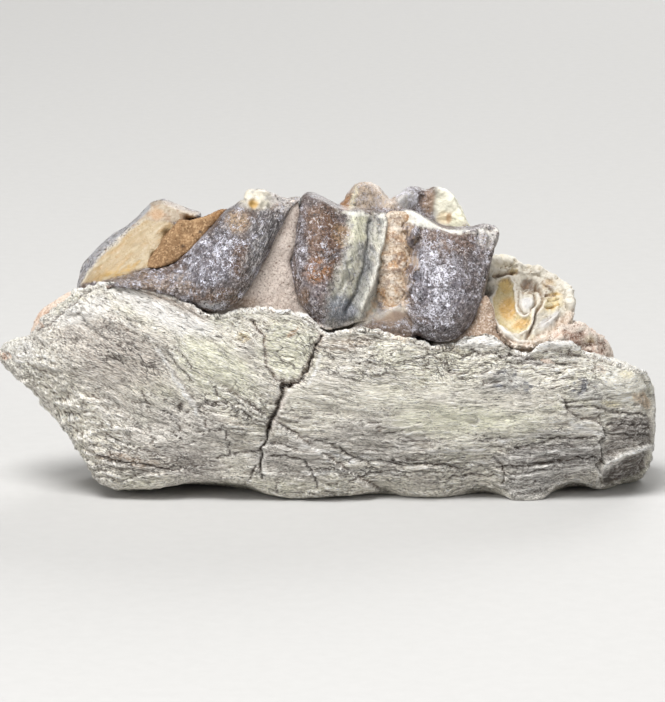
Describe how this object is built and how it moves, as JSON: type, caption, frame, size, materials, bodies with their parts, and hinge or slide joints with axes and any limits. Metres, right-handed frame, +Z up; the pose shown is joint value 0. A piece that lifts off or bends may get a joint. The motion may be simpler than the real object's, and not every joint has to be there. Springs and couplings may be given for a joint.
{
  "type": "fossil oreodont jaw",
  "caption": "Broken piece of a fossil lower jaw: cracked cream bone with grey-brown ridged cheek teeth along its top edge and pale sediment packed between them.",
  "frame": {"origin": "under the middle of the jaw, on the level patch of its underside that it rests on", "axes": "+X forwards along the jaw, +Y from the cheek side to the tongue side, +Z up along the teeth"},
  "size_m": [0.0521, 0.0139, 0.0246],
  "materials": {
    "bone": "matt mineralised bone with a fine fibrous grain and cracks",
    "enamel": "half-gloss fossil enamel, grey brown, speckled white",
    "dentine": "smooth worn dentine with white enamel rims",
    "sediment": "matt fine-grained sandy rock",
    "sandstone": "matt brown sandstone"
  },
  "bodies": {
    "root": {"jaw_bone": "bone", "rear_molar": "enamel", "middle_molar": "enamel", "front_molar": "dentine", "sediment": "sediment", "valley_filling": "sediment", "sandstone_filling": "sandstone"}
  },
  "joints": []
}
